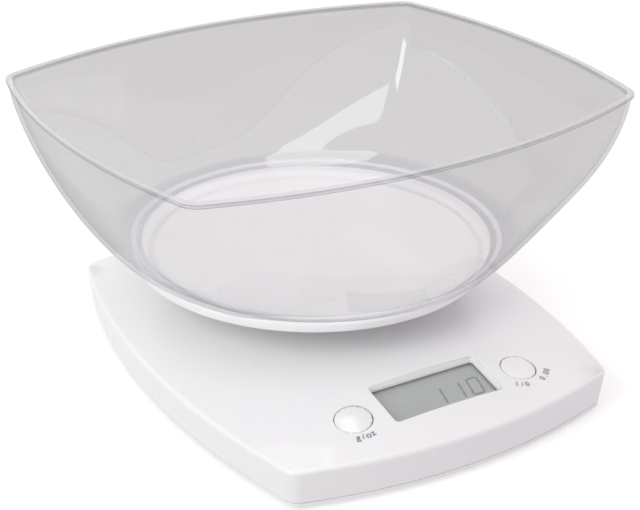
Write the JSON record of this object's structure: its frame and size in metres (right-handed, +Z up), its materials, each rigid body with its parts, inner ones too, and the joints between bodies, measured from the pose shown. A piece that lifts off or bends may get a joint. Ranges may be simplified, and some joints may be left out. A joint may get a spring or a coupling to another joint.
{
  "type": "kitchen scale with bowl",
  "caption": "Flat electronic kitchen scale with a crowned bowed-sided case, round weighing platform and a clear bowl that flares from a round base to a bowed rectangular rim.",
  "frame": {"origin": "under the middle of the whole object, on the surface it stands on", "axes": "+Z up, +X to the right seen from the front, +Y towards the back; the display is at the front (-Y)"},
  "size_m": [0.2494, 0.2346, 0.1293],
  "materials": {
    "case_white": "satin moulded ABS",
    "platform_white": "polished ABS",
    "button_white": "polished ABS",
    "hub_white": "moulded ABS",
    "foot_rubber": "moulded",
    "screw_steel": "zinc plated",
    "lens_clear": "clear acrylic",
    "lcd_grey": "liquid crystal glass",
    "frame_ivory": "moulded",
    "zebra_rubber": "layered silicone",
    "board_green": "solder mask",
    "resin_black": "moulded",
    "plunger_brown": "moulded",
    "cell_aluminium": "machined",
    "gauge_silicone": "silicone",
    "bowl_clear": "clear styrene, polished",
    "battery_jacket": "shrink sleeve",
    "contact_nickel": "nickel plated",
    "lead_white": "soft vinyl",
    "lead_red": "soft vinyl",
    "lead_black": "soft vinyl"
  },
  "bodies": {
    "case": {"bottom_cover": "case_white", "rubber_feet": "foot_rubber", "case_screws": "screw_steel", "top_cover": "case_white", "display_lens": "lens_clear", "lcd_glass": "lcd_grey", "lcd_frame": "frame_ivory", "zebra_strips": "zebra_rubber", "main_board": "board_green", "chip_blob": "resin_black", "board_screws": "screw_steel", "unit_switch": "resin_black", "tare_switch": "resin_black", "load_cell": "cell_aluminium", "gauge_covers": "gauge_silicone", "cell_base_plate": "screw_steel", "cell_base_screws": "screw_steel", "battery_a": "battery_jacket", "battery_b": "battery_jacket", "bridge_contact": "contact_nickel", "plus_contact": "contact_nickel", "minus_contact": "contact_nickel", "cell_lead": "lead_white", "battery_lead_plus": "lead_red", "battery_lead_minus": "lead_black"},
    "platform": {"platform_hub": "hub_white", "hub_screws": "screw_steel", "platform": "platform_white", "cell_top_plate": "screw_steel", "cell_top_screws": "screw_steel"},
    "bowl": {"bowl": "bowl_clear"},
    "unit_button": {"unit_button": "button_white", "unit_switch_plunger": "plunger_brown"},
    "tare_button": {"tare_button": "button_white", "tare_switch_plunger": "plunger_brown"},
    "battery_door": {"battery_door": "case_white"}
  },
  "joints": [
    {"name": "platform_press", "type": "slide", "parent": "case", "child": "platform", "axis": [0, 0, -1], "range_m": [0, 0.0004], "stiffness_N_per_m": 60000, "springref_m": -0.00006, "deforming": ["load_cell"]},
    {"name": "bowl_lift", "type": "slide", "parent": "platform", "child": "bowl", "axis": [0, 0, 1], "range_m": [0, 0.12]},
    {"name": "unit_press", "type": "slide", "parent": "case", "child": "unit_button", "axis": [0, 0.1882, -0.9821], "range_m": [0, 0.0005], "stiffness_N_per_m": 400, "springref_m": -0.0004},
    {"name": "tare_press", "type": "slide", "parent": "case", "child": "tare_button", "axis": [0, 0.1882, -0.9821], "range_m": [0, 0.0005], "stiffness_N_per_m": 400, "springref_m": -0.0004},
    {"name": "battery_door_hinge", "type": "hinge", "parent": "case", "child": "battery_door", "pos_m": [0, 0.05786, 0.0028], "axis": [-1, 0, 0], "range_deg": [0, 100]}
  ]
}
